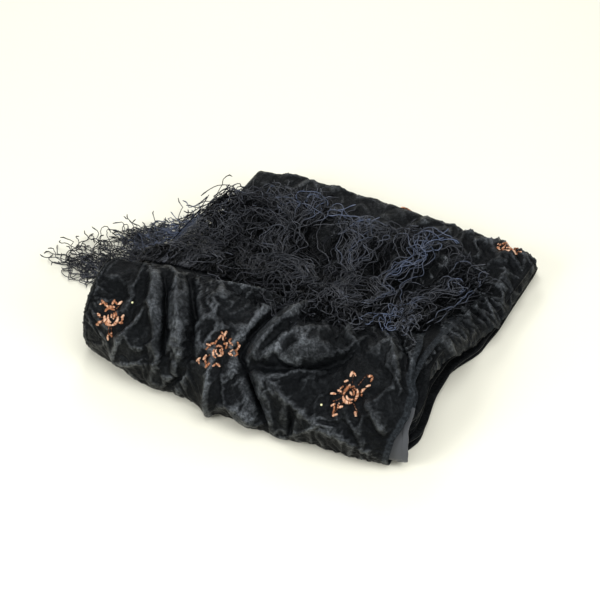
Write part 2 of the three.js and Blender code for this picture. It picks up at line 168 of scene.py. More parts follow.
def foldLift(folds, x, v):
    lift = np.zeros_like(x)
    for fold in folds:
        points = [(px, pv * vLength) for px, pv in fold["along"]]
        nearest = np.full_like(x, 1e9)
        place = np.zeros_like(x)
        side = np.zeros_like(x)
        for k, ((ax, ay), (bx, by)) in enumerate(zip(points, points[1:])):
            dx, dy = bx - ax, by - ay
            t = unit(((x - ax) * dx + (v * vLength - ay) * dy) / (dx * dx + dy * dy))
            offX, offY = x - ax - t * dx, v * vLength - ay - t * dy
            distance = np.hypot(offX, offY)
            closer = distance < nearest
            nearest = np.where(closer, distance, nearest)
            place = np.where(closer, (k + t) / (len(points) - 1), place)
            side = np.where(closer, np.sign(dx * offY - dy * offX), side)
        width = fold["width"] * (1 + fold["lean"] * side)
        full = np.sin(np.pi * mix(0.1, 0.9, place)) ** 0.7
        lift += fold["height"] * full * np.exp(-((nearest / width) ** fold["sharp"]))
    return lift


# 0 on the open cloth and 1 on a turned hem
def hemStep(x, hemX, width):
    return ease((x - hemX + width) / hemSlope + 0.5)


# The paler band of a turned hem, from the distance to its edge
def hemBand(fromEdge, width):
    return 1 - ease((fromEdge - width) / 1.2)


def toRow(x, y, z):
    return np.stack([x - cadOrigin[0], y - cadOrigin[1], z], axis=-1) / 1000


def addObject(name, data):
    obj = bpy.data.objects.new(name, data)
    scene.collection.objects.link(obj)
    return obj


def spotsOf(mesh):
    spots = np.empty(len(mesh.vertices) * 3)
    mesh.vertices.foreach_get("co", spots)
    return spots.reshape(-1, 3)


# A grid with each vertex moved to place(u, w), both from 0 to 1
def makeSheet(name, across, along, place, wall=0, marks=None):
    bm = bmesh.new()
    bmesh.ops.create_grid(bm, x_segments=across, y_segments=along, size=0.5)
    mesh = bpy.data.meshes.new(name)
    bm.to_mesh(mesh)
    bm.free()
    flat = spotsOf(mesh) + 0.5
    mesh.vertices.foreach_set("co", place(flat[:, 0], flat[:, 1]).ravel())
    mesh.update()
    mesh.polygons.foreach_set("use_smooth", np.ones(len(mesh.polygons), bool))
    obj = addObject(name, mesh)
    for mark, amount in (marks or {}).items():
        band = mesh.attributes.new(mark, "FLOAT", "POINT")
        band.data.foreach_set("value", amount(flat[:, 0], flat[:, 1]).astype(np.float32))
    if wall:
        solidify = obj.modifiers.new("thickness", "SOLIDIFY")
        solidify.thickness = wall / 1000
        solidify.offset = -1
    return obj


# A smooth mesh with a tone at each vertex
def makeToned(name, spots, faces, tones):
    mesh = bpy.data.meshes.new(name)
    mesh.from_pydata(spots, [], faces)
    mesh.polygons.foreach_set("use_smooth", np.ones(len(mesh.polygons), bool))
    tone = mesh.attributes.new("tone", "FLOAT", "POINT")
    tone.data.foreach_set("value", tones)
    return addObject(name, mesh)


# Many copies of one small shape as one mesh: matrices is (n, 3, 4), in the row frame
def joinCopies(name, shape, matrices, tones):
    corners = np.array([v.co for v in shape.verts])
    faces = [[v.index for v in f.verts] for f in shape.faces]
    count = len(corners)
    spots = np.einsum("nij,kj->nki", matrices[:, :, :3], corners) + matrices[:, None, :, 3]
    allFaces = [[i * count + k for k in f] for i in range(len(matrices)) for f in faces]
    return makeToned(name, spots.reshape(-1, 3), allFaces, np.repeat(tones, count))


def srgb(code):
    channels = [int(code[i:i + 2], 16) / 255 for i in (1, 3, 5)]
    return tuple(c / 12.92 if c <= 0.04045 else ((c + 0.055) / 1.055) ** 2.4 for c in channels) + (1.0,)


# Adds a node, sets what it is given, and links the inputs that are sockets or other nodes
def node(tree, kind, settings=None, **inputs):
    made = tree.nodes.new("ShaderNode" + kind)
    for key, value in (settings or {}).items():
        setattr(made, key, value)
    for key, value in inputs.items():
        name = key.replace("_", " ")
        socket = made.inputs[int(name[1:])] if name[0] == "i" and name[1:].isdigit() else made.inputs[name]
        if isinstance(value, bpy.types.Node):
            value = next(output for output in value.outputs if output.enabled)
        if isinstance(value, bpy.types.NodeSocket):
            tree.links.new(value, socket)
        else:
            socket.default_value = value
    return made


def newMaterial(name):
    material = bpy.data.materials.new(name)
    material.use_nodes = True
    tree = material.node_tree
    tree.nodes.clear()
    return material, tree


def finishMaterial(tree, shader):
    out = tree.nodes.new("ShaderNodeOutputMaterial")
    tree.links.new(shader.outputs["BSDF"], out.inputs["Surface"])


# Pattern sizes in millimetres. Real pile and thread are about 0.2, drawn coarser so that they show
nap = {"patch": 21.74, "fleck": 2.5, "pile": 0.909, "thread": 0.667}


# Crushed velvet: the pile lies flat in patches that shine, most of all on crests, and stands up in dark
# ones. Where it shines, the base colour is painted a little paler: the patches are the cloth's own pattern,
# and the extra lift on fold crests is painted sheen
def crushedVelvet():
    material, tree = newMaterial("crushed velvet")
    coords = node(tree, "TexCoord").outputs["Object"]
    hem = node(tree, "Attribute", {"attribute_name": "hem"}).outputs["Fac"]
    ridge = node(tree, "Attribute", {"attribute_name": "ridge"}).outputs["Fac"]
    patch = node(tree, "TexNoise", Vector=coords, Scale=1000 / nap["patch"],
                 Detail=6, Roughness=0.62, Distortion=0.7)
    fleck = node(tree, "TexNoise", Vector=coords, Scale=1000 / nap["fleck"],
                 Detail=4, Roughness=0.65, Distortion=0.4)
    pile = node(tree, "TexNoise", Vector=coords, Scale=1000 / nap["pile"],
                Detail=2, Roughness=0.6)
    broad = node(tree, "MapRange", Value=patch, From_Min=0.42, From_Max=0.62, To_Min=0.28)
    spots = node(tree, "MapRange", Value=fleck, From_Min=0.44, From_Max=0.58, To_Min=0.35)
    crest = node(tree, "MapRange", Value=ridge, From_Min=0.25, From_Max=0.87, To_Min=0.1)
    # painted sheen: the patch pattern, weighted towards the fold crests
    crestSheen = node(tree, "Math", {"operation": "MULTIPLY"}, i0=broad, i1=crest)
    shine = node(tree, "Math", {"operation": "MULTIPLY"}, i0=crestSheen, i1=spots)
    gloss = node(tree, "MapRange", Value=shine, To_Min=0.46, To_Max=0.28)
    mirror = node(tree, "MapRange", Value=shine, To_Min=0.025, To_Max=0.95)
    # painted sheen: the base colour is paler where the shine is, most of all on fold crests
    colour = node(tree, "Mix", {"data_type": "RGBA"}, Factor=shine, i6=srgb("#050607"), i7=srgb("#0c1013"))
    # turned hems are paler
    speck = node(tree, "Math", {"operation": "MULTIPLY"}, i0=hem, i1=spots)
    banded = node(tree, "Mix", {"data_type": "RGBA"}, Factor=speck, i6=colour, i7=srgb("#23272b"))
    pressed = node(tree, "Bump", Height=patch, Strength=0.6, Distance=0.0028)
    flecked = node(tree, "Bump", Height=fleck, Strength=0.7, Distance=0.0018, Normal=pressed)
    napped = node(tree, "Bump", Height=pile, Strength=0.5, Distance=0.0006, Normal=flecked)
    shader = node(tree, "BsdfPrincipled", Base_Color=banded, Roughness=gloss, Normal=napped,
                  Specular_IOR_Level=mirror, IOR=1.75, Specular_Tint=srgb("#dde6f0"),
                  Sheen_Weight=0.03, Sheen_Roughness=0.3, Sheen_Tint=srgb("#7d8894"))
    finishMaterial(tree, shader)
    return material


# The smooth woven wrong side: grey and matt
def wrongSide():
    material, tree = newMaterial("velvet wrong side")
    coords = node(tree, "TexCoord").outputs["Object"]
    weave = node(tree, "TexNoise", Vector=coords, Scale=1000 / nap["thread"], Detail=1)
    bump = node(tree, "Bump", Height=weave, Strength=0.3, Distance=0.0003)
    shader = node(tree, "BsdfPrincipled", Normal=bump, Roughness=0.7,
                  Base_Color=srgb("#34373c"), Sheen_Weight=0.2)
    finishMaterial(tree, shader)
    return material


# Thread, yarn or glass whose tone runs through three colours, with more gloss where it is pale
def threadMaterial(name, colours, roughness, mirror):
    material, tree = newMaterial(name)
    tone = node(tree, "Attribute", {"attribute_name": "tone"}).outputs["Fac"]
    ramp = node(tree, "ValToRGB", Fac=tone)
    ramp.color_ramp.elements.new(0.6)
    for stop, code in zip(ramp.color_ramp.elements, colours):
        stop.color = srgb(code)
    shine = node(tree, "MapRange", Value=tone, To_Min=0.03, To_Max=mirror)
    shader = node(tree, "BsdfPrincipled", Base_Color=ramp, Roughness=roughness, Specular_IOR_Level=shine)
    finishMaterial(tree, shader)
    return material


velvet = crushedVelvet()
velvetBack = wrongSide()
# the near-black colour is painted shade for yarns low in the heap; the pale bluish colour is partly the
# yarn's own tone and partly painted light
yarn = threadMaterial("rayon fringe yarn", ("#030405", "#373a41", "#434f68"), 0.38, 0.7)
floss = threadMaterial("copper satin floss", ("#3e2013", "#a7704f", "#dab498"), 0.4, 0.4)
glass = threadMaterial("pale glass bead", ("#c9c98a", "#d9d9a0", "#e6e6b4"), 0.2, 0.5)
print("materials made")

# Upper ply of the front stretch
front = {
    "curlX": -166.0, "curlR": 22.0, "leftX": -206.0, "shrink": 0.2, "centreZ": 34.0,
    # v, right hem of the upper ply, right hem of the under ply
    "hems": np.array([(0, 124, 133), (0.1, 125, 135), (0.17, 126, 141), (0.24, 127, 141), (0.33, 128, 139),
                      (0.42, 132, 136), (0.48, 134, 136), (0.57, 132, 134), (0.67, 122, 125),
                      (0.78, 118, 124), (1, 109, 124), (1.35, 98, 124)], float),
    "loft": 2.0, "depth": 1.9, "crumple": 0.55, "slant": -0.5, "endDip": 2.6,
    "hemWidth": 5.0, "hemRaise": 0.8, "endHemWidth": 4.0, "endHemTone": 0.6,
    "fineDepth": 0.5, "fineSize": (5.0, 6.0),
    "plain": {"x": 72.0, "width": 40.0, "v": 0.57, "height": 0.2, "share": 0.85},  # shines less
    "folds": [
        crease([(-124, 0.58), (-128, 0.5), (-138, 0.39), (-147, 0.2)], 3.5, 3.2, sharp=1.2),
        crease([(-146, 0.8), (-128, 0.69), (-122, 0.6), (-108, 0.5), (-99, 0.34)], 8, 5.5, lean=0.4),
        crease([(-122, 0.74), (-104, 0.54), (-93, 0.33)], 6, -7, sharp=1.8),
        crease([(-124, 0.9), (-100, 0.64), (-86, 0.54), (-77, 0.38)], 8, 5.5, lean=-0.3),
        crease([(-104, 0.8), (-79, 0.59), (-72, 0.42)], 5, -5, sharp=1.8),
        crease([(-112, 0.78), (-118, 0.92)], 3.5, -3),
        crease([(-72, 0.78), (-62, 0.6)], 14, 3.5, sharp=2),
        crease([(-50, 0.46), (-46, 0.36), (-43, 0.22), (-44, 0.1)], 6, 5, lean=-0.35, sharp=1.2),
        crease([(-40, 0.27), (-14, 0.27), (16, 0.2)], 8, 4.5, sharp=1.3),
        crease([(-32, 0.53), (-14, 0.43), (6, 0.29), (14, 0.2)], 6, -7, sharp=1.6),
        crease([(-148, 0.18), (-122, 0.28), (-98, 0.33)], 4, 3, sharp=1.2),
        crease([(-122, 0.35), (-104, 0.45)], 3, 2, sharp=1.2),
        crease([(-76, 0.4), (-76, 0.29), (-88, 0.2)], 4, -4),
        crease([(-18, 0.52), (-10, 0.63), (0, 0.76), (6, 0.94)], 7, 5, lean=0.3, sharp=1.2),
        crease([(-24, 0.52), (-24, 0.64), (-16, 0.75), (-10, 0.94)], 5, -5),
        crease([(-8, 0.52), (10, 0.66), (38, 0.74)], 6, 3.5),
        crease([(12, 0.59), (26, 0.64), (50, 0.66)], 9, 5, lean=0.3, sharp=2),
        crease([(-12, 0.49), (22, 0.54), (48, 0.6), (64, 0.66)], 5, -6, sharp=1.6),
        crease([(28, 0.51), (52, 0.56), (62, 0.6)], 4, -2.5),
        crease([(-16, 0.47), (16, 0.43), (32, 0.39), (58, 0.34), (82, 0.32)], 6, 4, lean=-0.3, sharp=1.3),
        crease([(34, 0.2), (58, 0.31), (88, 0.29), (108, 0.26)], 6, 3.5, sharp=1.3),
        crease([(34, 0.37), (38, 0.22)], 4, -3),
        crease([(92, 0.49), (108, 0.43), (121, 0.36)], 4, 5, lean=0.4, sharp=1.2),
        crease([(78, 0.84), (94, 0.76), (106, 0.66), (118, 0.58)], 5, 5, sharp=1.2),
        crease([(96, 0.86), (107, 0.76), (116, 0.67)], 4, -6, sharp=1.8),
        crease([(46, 0.78), (68, 0.71)], 5, 3),
        crease([(-82, 0.87), (-50, 0.89), (-26, 0.91)], 5, 3),
    ],
}


def frontSurface(clothX, v, detail=True, sink=0.0):
    hemX = tableAt(front["hems"], v)[0]
    curl = np.maximum(front["curlX"] - clothX, 0) / front["curlR"]
    x = np.where(curl > 0, front["curlX"] - front["curlR"] * np.sin(np.minimum(curl, 2.2)), clothX)
    calm = ease((v - 0.02) / 0.1) * (1 - ease((v - 0.9) / 0.1))
    edge = 1 - ease((clothX - hemX + 14) / 11)
    lift = front["loft"] * calm + front["depth"] * foldLift(front["folds"], clothX, v) * calm * edge
    if detail:
        rough = crumple(clothX, v * vLength, front["crumple"], 1.0, front["slant"], 40)
        lift = lift + rough * (0.25 + 0.75 * calm) * (0.4 + 0.6 * edge)
    lift = lift + front["hemRaise"] * hemStep(clothX, hemX, front["hemWidth"]) - sink
    lift = lift - front["endDip"] * ease((v - 0.92) / 0.08)
    y, z = plyPoint(x, v, lift * np.maximum(np.cos(np.minimum(curl, 1.4)), 0.3))
    kept = 1 - front["shrink"] * (1 - np.cos(curl))
    return x, mix(crownLine(x), y, kept), np.maximum(mix(front["centreZ"], z, kept), clothFloor)


# The grid positions of a sheet as (across, along, 3)
def gridOf(obj, across, along):
    return spotsOf(obj.data).reshape(along + 1, across + 1, 3).transpose(1, 0, 2)


# The shares u and w of each point of a grid
def shareGrid(across, along):
    return np.meshgrid(np.linspace(0, 1, across + 1), np.linspace(0, 1, along + 1), indexing="ij")


# Lets a sheet buckle: it grows a little while its edges are held and a form lies under it
def crush(sheet, form, pins, settings):
    group = sheet.vertex_groups.new(name="held")
    for k, weight in enumerate(pins):
        if weight > 0:
            group.add([k], float(weight), "REPLACE")
    form.modifiers.new("stop", "COLLISION")
    form.collision.thickness_outer = settings["clearance"]
    cloth = sheet.modifiers.new("cloth", "CLOTH")
    for key, value in settings["cloth"].items():
        setattr(cloth.settings, key, value)
    cloth.settings.vertex_group_mass = "held"
    cloth.settings.effector_weights.gravity = settings["gravity"]
    cloth.collision_settings.distance_min = settings["clearance"]
    cloth.collision_settings.collision_quality = 2
    cloth.point_cache.frame_end = settings["frames"]
    for step in range(1, settings["frames"] + 1):
        scene.frame_set(step)
    spots = spotsOf(sheet.evaluated_get(bpy.context.evaluated_depsgraph_get()).data)
    sheet.modifiers.remove(cloth)
    sheet.data.vertices.foreach_set("co", spots.ravel())
    bpy.data.objects.remove(form)
    scene.frame_set(1)


# Single points held down, loosely spaced, so that a sheet puckers between them
def heldSpots(columns, rows, spacing, width, length, seed):
    pick = np.random.default_rng(seed)
    held = np.zeros((rows + 1, columns + 1))
    for y in np.arange(spacing / 2, length, spacing):
        for x in np.arange(spacing / 2, width, spacing):
            i = (x + pick.uniform(-0.4, 0.4) * spacing) / width * columns
            j = (y + pick.uniform(-0.4, 0.4) * spacing) / length * rows
            held[int(np.clip(j, 0, rows)), int(np.clip(i, 0, columns))] = 1
    return held


# Twice as many points, smoothly between the ones there are
def refine(grid):
    for axis in (0, 1):
        grid = np.swapaxes(grid, 0, axis)
        padded = np.concatenate([2 * grid[:1] - grid[1:2], grid, 2 * grid[-1:] - grid[-2:-1]])
        between = (9 * (padded[1:-2] + padded[2:-1]) - padded[:-3] - padded[3:]) / 16
        finer = np.empty((2 * len(grid) - 1, *grid.shape[1:]))
        finer[::2], finer[1::2] = grid, between
        grid = np.swapaxes(finer, 0, axis)
    return grid


# The points of a grid at shares u and w
def gridPoint(grid, u, w):
    columns, rows = grid.shape[0] - 1, grid.shape[1] - 1
    a, b = unit(u) * columns, unit(w) * rows
    i, j = np.minimum(a.astype(int), columns - 1), np.minimum(b.astype(int), rows - 1)
    s, t = (a - i)[:, None], (b - j)[:, None]
    near = mix(grid[i, j], grid[i + 1, j], s)
    return mix(near, mix(grid[i, j + 1], grid[i + 1, j + 1], s), t)


def direction(vectors):
    return vectors / np.linalg.norm(vectors, axis=-1, keepdims=True)


def gridNormals(grid):
    return direction(np.cross(np.gradient(grid, axis=0), np.gradient(grid, axis=1)))


# How far each point stands out from the smoothed sheet, as a share of the way from low to high
def ridgesOf(grid, rounds=24, low=-0.6, high=2.0):
    smooth = grid.copy()
    for _ in range(rounds):
        for axis in (0, 1):
            padded = np.concatenate([smooth.take([0], axis), smooth, smooth.take([-1], axis)], axis)
            count = smooth.shape[axis]
            before, after = padded.take(range(count), axis), padded.take(range(2, count + 2), axis)
            smooth = (before + 2 * smooth + after) / 4
    out = np.sum((grid - smooth) * gridNormals(smooth), axis=-1) * 1000
    return ease((out - low) / (high - low))[..., None]


def frontPlace(detail, sink=0.0):
    def place(u, w):
        hemX = tableAt(front["hems"], w)[0]
        return toRow(*frontSurface(mix(front["leftX"], hemX, u), w, detail, sink))
    return place


def frontHem(u, w):
    hemX = tableAt(front["hems"], w)[0]
    side = hemBand((hemX - front["leftX"]) * (1 - u), front["hemWidth"])
    return np.maximum(side, front["endHemTone"] * hemBand((1 - w) * vLength, front["endHemWidth"]))


crushing = {
    "across": 128, "along": 72, "formAcross": 90, "formAlong": 60, "formSink": 3.0,
    "frames": 22, "gravity": 0.5, "clearance": 0.0008,
    "cloth": {"quality": 5, "mass": 0.02, "tension_stiffness": 8, "compression_stiffness": 8,
              "shear_stiffness": 2, "bending_stiffness": 0.02, "shrink_min": -0.07},
    "spacing": 34, "width": 335, "length": 160, "seed": 3,  # of the points held down
}
across, along = crushing["across"], crushing["along"]
draft = makeSheet("frontDraft", across, along, frontPlace(True))
formPlace = frontPlace(False, crushing["formSink"])
form = makeSheet("frontForm", crushing["formAcross"], crushing["formAlong"], formPlace)
uu, ww = [share.T for share in shareGrid(across, along)]
spots = heldSpots(across, along, *[crushing[key] for key in ("spacing", "width", "length", "seed")])
held = np.maximum.reduce([1 - ease(uu / 0.1), ease((uu - 0.94) / 0.05),
                          1 - ease(ww / 0.12), ease((ww - 0.92) / 0.06), spots])
crush(draft, form, held.ravel(), crushing)
frontGrid = refine(gridOf(draft, across, along))
bpy.data.objects.remove(draft)

uu, ww = shareGrid(2 * across, 2 * along)
hemX = tableAt(front["hems"], ww)[0]
clothX = mix(front["leftX"], hemX, uu)
fine = waves(clothX / front["fineSize"][0], ww * vLength / front["fineSize"][1], 47)
fine = fine * ease((ww - 0.02) / 0.06) * ease((hemX - clothX) / 12)
frontGrid = frontGrid + gridNormals(frontGrid) * front["fineDepth"] * fine[..., None] / 1000
frontGrid[..., 2] = np.maximum(frontGrid[..., 2], clothFloor / 1000)

plain = front["plain"]
offX, offV = (clothX - plain["x"]) / plain["width"], (ww - plain["v"]) / plain["height"]
# painted sheen: how far the front stands out, which makes the velvet paler and shinier on its crests, and
# less so over the plain region
frontRidges = ridgesOf(frontGrid) * (1 - plain["share"] * np.exp(-offX ** 2 - offV ** 2))[..., None]
frontPly = makeSheet("frontUpperPly", 2 * across, 2 * along,
                     lambda u, w: gridPoint(frontGrid, u, w), thickness,
                     {"hem": frontHem, "ridge": lambda u, w: gridPoint(frontRidges, u, w)[:, 0]})
frontPly.data.materials.append(velvet)
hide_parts("front_upper_ply")
print("front upper ply made")

# Under ply of the front stretch, wrong side out up to a row, and velvet where it runs on behind the end hem
under = {
    "across": 44, "along": 130, "turnedRow": 52,
    "tuck": 14.0, "backX": 60.0, "endV": 1.3, "hemWidth": 5.0, "hemRaise": 0.7,
}


def placeUnder(u, w):
    v = w * under["endV"]
    upperX, hemX = tableAt(front["hems"], v)
    startX = mix(upperX - under["tuck"], under["backX"], ease((v - 1) / 0.2))
    x = mix(startX, hemX, u)
    lift = -level + 0.5 * waves(x / 22, v * vLength / 25, 71) * ease((x - upperX - 2) / 6)
    lift = lift + under["hemRaise"] * hemStep(x, hemX, under["hemWidth"])
    y, z = plyPoint(x, v, lift)
    return toRow(x, y, np.maximum(z, clothFloor))


def underHem(u, w):
    upperX, hemX = tableAt(front["hems"], w * under["endV"])
    return hemBand((hemX - upperX + under["tuck"]) * (1 - u), under["hemWidth"])


underPly = makeSheet("frontUnderPly", under["across"], under["along"], placeUnder, thickness,
                     {"hem": underHem})
underPly.data.materials.append(velvetBack)
underPly.data.materials.append(velvet)
for face in underPly.data.polygons:
    if face.index // under["across"] > under["turnedRow"]:
        face.material_index = 1
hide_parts("front_under_ply")
print("front under ply made")

# Back stretch: the slope under the fringe, the flat back and the back fold
back = {
    "across": 240, "along": 200, "startV": 0.72, "endV": 1.985, "depth": 4.6,
    "leftX": -149.0, "foldR": 6.0, "turn": 2.4, "droopR": 20.0, "droop": 6.0,
    "hemWidth": 4.5, "hemTone": 0.3, "width": 330.0,
    # y at edgeX, right edge
    "edgeX": 120.0,
    "right": np.array([(90, 132), (120, 139), (150, 144), (205, 151), (310, 154)], float),
    # ripples of the right edge: height, count in one unit of v, row and seed of the noise
    "ripples": [(7, 8, 0.3, 77), (3, 19, 0.7, 78)],
    # crumple at the left and at the right, and the cloth in one unit of v that it is drawn for
    "puffed": (0.75, 0.35), "ridged": (0.5, 1.7), "crumpleLength": 250.0,
    "foldDepth": 1.4, "ridgeShare": 0.8,
    "folds": [
        crease([(-134, 1.5), (-112, 1.7), (-96, 1.86)], 7, 2.8),
        crease([(-72, 1.86), (-44, 1.74), (-20, 1.6)], 7, 2.6),
        crease([(0, 1.6), (16, 1.7), (34, 1.84)], 8, 2.8),
        crease([(60, 1.86), (70, 1.74), (86, 1.6)], 5, 3.2),
        crease([(94, 1.86), (112, 1.8), (142, 1.66)], 5, 3.4),
        crease([(96, 1.68), (118, 1.6), (140, 1.5)], 5, 3.4),
        crease([(104, 1.58), (120, 1.5), (136, 1.42)], 4, 2.8),
        crease([(112, 1.44), (126, 1.34), (136, 1.24)], 4, 2.6),
        crease([(118, 1.78), (136, 1.84)], 4, 2.6),
        crease([(24, 1.8), (48, 1.86)], 4, 2.4),
    ],
}


def backEdge(v):
    return tableAt(back["right"], outline(np.full_like(v, back["edgeX"]), v)[0])[0]


def backSurface(clothX, v):
    rightX = backEdge(v) - back["droopR"]
    for height, count, row, seed in back["ripples"]:
        rightX = rightX + height * waves(v * count, row, seed)
    # the left fold and the right droop are tighter towards the back fold
    turn = np.maximum(back["leftX"] - clothX, 0) / back["foldR"]
    radius = back["foldR"] * (1 - 0.5 * ease((v - 1.72) / 0.12))
    droop = np.maximum(clothX - rightX, 0) / back["droopR"]
    droopR = back["droopR"] * (1 - 0.72 * ease((v - 1.78) / 0.1))
    x = np.where(turn > 0, back["leftX"] - radius * np.sin(turn), clothX)
    x = np.where(droop > 0, rightX + back["droopR"] * np.sin(droop), x)
    # smooth where the front turn lies on it
    shown = np.maximum(ease((v - 1.0) / 0.15), ease((clothX - 118) / 8) * ease((v - 0.74) / 0.1))
    calm = shown * (1 - 0.6 * ease((v - 1.86) / 0.08))
    edge = ease((clothX - back["leftX"]) / 14)
    lift = back["foldDepth"] * foldLift(back["folds"], clothX, v) * calm * edge
    rightwards = ease((clothX - 50) / 40)
    clothY = v * back["crumpleLength"]
    rough = crumple(clothX, clothY, mix(*back["puffed"], rightwards), 1.0, 0.5, 90)
    rough = rough - crumple(clothX, clothY, mix(*back["ridged"], rightwards), 0.5, -0.55, 130)
    lift = lift + rough * calm * (0.3 + 0.7 * edge) * (1 - 0.25 * ease(droop / 0.8))
    lift = lift - back["depth"] - radius * (1 - np.cos(turn)) - droopR * (1 - np.cos(droop))
    y, z = plyPoint(x, v, lift)
    return x, y, z


# The cloth's left and right ends at v, round the left fold and down the right droop
def backEnds(v):
    return back["leftX"] - back["foldR"] * back["turn"], backEdge(v) + back["droop"]


def placeBack(u, w):
    v = mix(back["startV"], back["endV"], w)
    return toRow(*backSurface(mix(*backEnds(v), u), v))


def backHem(u, w):
    return back["hemTone"] * hemBand((1 - u) * back["width"], back["hemWidth"])


backGrid = placeBack(*shareGrid(back["across"], back["along"]))
# painted sheen: the same crest measure for the back stretch
backRidges = back["ridgeShare"] * ridgesOf(backGrid)
backPly = makeSheet("backStretch", back["across"], back["along"], placeBack, thickness,
                    {"hem": backHem, "ridge": lambda u, w: gridPoint(backRidges, u, w)[:, 0]})
backPly.data.materials.append(velvet)
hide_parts("back_stretch")
print("back stretch made")

# Hidden layers: a core, ply hems at its right edge and folds at its left
layers = {
    "depth": 7.15, "lowTop": 9.8, "startV": 0.05, "thickness": 1.5, "hemDepth": 46.0,
    # shares of the closed outline where the plies end, and where the low fold at the back ends
    "pliesEnd": 0.7, "lowEnd": 0.8,
    # how far the gap over the low fold goes in, how far the low fold stands out, and where each ends on it
    "gapIn": 1.5, "lowOut": 8.0, "gapShare": 0.25, "topShare": 0.45,
    "spineIn": 34.0, "spineHeight": 0.45, "coreLeft": 14.0, "coreRight": 20.0, "coreRound": 0.1,
    # y, left end, right end
    "ends": np.array([(0, -163, 127), (30, -163, 135), (90, -160, 127), (120, -151, 127),
                      (175, -148, 141), (215, -148, 144), (310, -147, 147)], float),
    # share of the outline, how far the hem stands out
    "hems": [(0.93, 3.0), (0.8, -2.0), (0.62, 2.0), (0.42, -3.0), (0.24, 0.0)],
    # shares of the outline of a fold's outer and inner ply
    "foldPairs": [(0.95, 0.84), (0.74, 0.6), (0.5, 0.34)],
}


# The closed outline of the layers at t from 0 to 1, drawn in towards its middle line by a share
def layerPoint(x, t, share, seed):
    noseY, noseZ, noseR, crownY, crownZ, hemY, footY, stackZ, backY = tableAt(sections, x)
    pliesEnd, lowEnd, gap, top = [layers[key] for key in ("pliesEnd", "lowEnd", "gapShare", "topShare")]
    plyV = mix(layers["startV"], back["endV"], unit(t / pliesEnd))
    plyY, plyZ = plyPoint(x, plyV, -layers["depth"])
    endY, endZ = plyPoint(x, np.full_like(x, back["endV"]), -layers["depth"])
    q = unit((t - pliesEnd) / 0.1)
    turn = unit((q - top) / (1 - top)) * np.pi
    radius = layers["lowTop"] / 2
    outwards = mix(-layers["gapIn"], layers["lowOut"], unit((q - gap) / (top - gap)))
    lowY = endY + np.where(q < gap, -layers["gapIn"] * q / gap, outwards) + radius * np.sin(turn)
    lowZ = np.where(q < gap, mix(endZ, layers["lowTop"], q / gap), radius + radius * np.cos(turn))
    floorY = mix(endY + layers["lowOut"], noseY + noseR + 1.5, unit((t - lowEnd) / (1 - lowEnd)))
    y = np.select([t < pliesEnd, t < lowEnd], [plyY, lowY], floorY)
    z = np.select([t < pliesEnd, t < lowEnd], [plyZ, lowZ], 0)
    spineY = np.clip(y, noseY + layers["spineIn"], backY - layers["spineIn"])
    spineZ = layers["spineHeight"] * heightAt(x, spineY)
    # the plies wander, apart from the flat underside
    sway = 0.05 * waves(t * 13, x / 60, seed) + 0.035 * waves(t * 34, x / 30, seed + 1)
    share = share + sway * (1 - ease((t - 0.78) / 0.03) * (share > 0.9))
    return mix(spineY, y, share), np.maximum(mix(spineZ, z, share), innerFloor)


def layerEnds(t):
    y = layerPoint(np.zeros_like(t), t, 1.0, 5)[0]
    return tableAt(layers["ends"], y)


def placeCore(u, w):
    leftX, rightX = layerEnds(w)
    rounding = layers["coreRound"]
    inside = unit((u - rounding) / (1 - 2 * rounding))
    x = mix(leftX + layers["coreLeft"], rightX - layers["coreRight"], inside)
    share = mix(0.02, 1.0, ease(np.minimum(u, 1 - u) / rounding))
    y, z = layerPoint(x, w % 1.0, share, 7)
    return toRow(x, y, z)


def placeHem(share, out, seed):
    def place(u, w):
        x = layerEnds(w)[1] + out + 6 * waves(w * 9, seed * 0.37, 200 + seed)
        x = x - layers["hemDepth"] * (1 - u)
        hem = 0.03 * ease((u - 0.88) / 0.03)
        y, z = layerPoint(x, w % 1.0, share + hem, 300 + seed)
        return toRow(x, y, z)
    return place


def placeFold(outer, inner, seed):
    def place(u, w):
        turn = unit((u - 0.4) / 0.2) * np.pi
        away = layers["hemDepth"] * (unit(1 - u / 0.4) + unit((u - 0.6) / 0.4))
        wander = 2.5 * waves(w * 11, seed * 0.29, 400 + seed)
        x = layerEnds(w)[0] + away - 5 * np.sin(turn) + wander
        share = mix(outer, inner, (1 - np.cos(turn)) / 2)
        y, z = layerPoint(x, w % 1.0, share, 500 + seed)
        return toRow(x, y, z)
    return place


parts = [makeSheet("layerCore", 44, 240, placeCore)]
for seed, (share, out) in enumerate(layers["hems"]):
    parts.append(makeSheet("layerHem", 14, 230, placeHem(share, out, seed), layers["thickness"]))
for seed, (outer, inner) in enumerate(layers["foldPairs"]):
    parts.append(makeSheet("layerFold", 22, 220, placeFold(outer, inner, seed), layers["thickness"]))
deps = bpy.context.evaluated_depsgraph_get()
bm = bmesh.new()
for part in parts:
    bm.from_mesh(part.evaluated_get(deps).to_mesh())
for part in parts:
    bpy.data.objects.remove(part)
for vert in bm.verts:
    vert.co.z = max(vert.co.z, innerFloor / 1000)
mesh = bpy.data.meshes.new("hiddenLayers")
bm.to_mesh(mesh)
bm.free()
hidden = addObject("hiddenLayers", mesh)
hidden.data.materials.append(velvet)
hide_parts("hidden_layers")
print("hidden layers made")

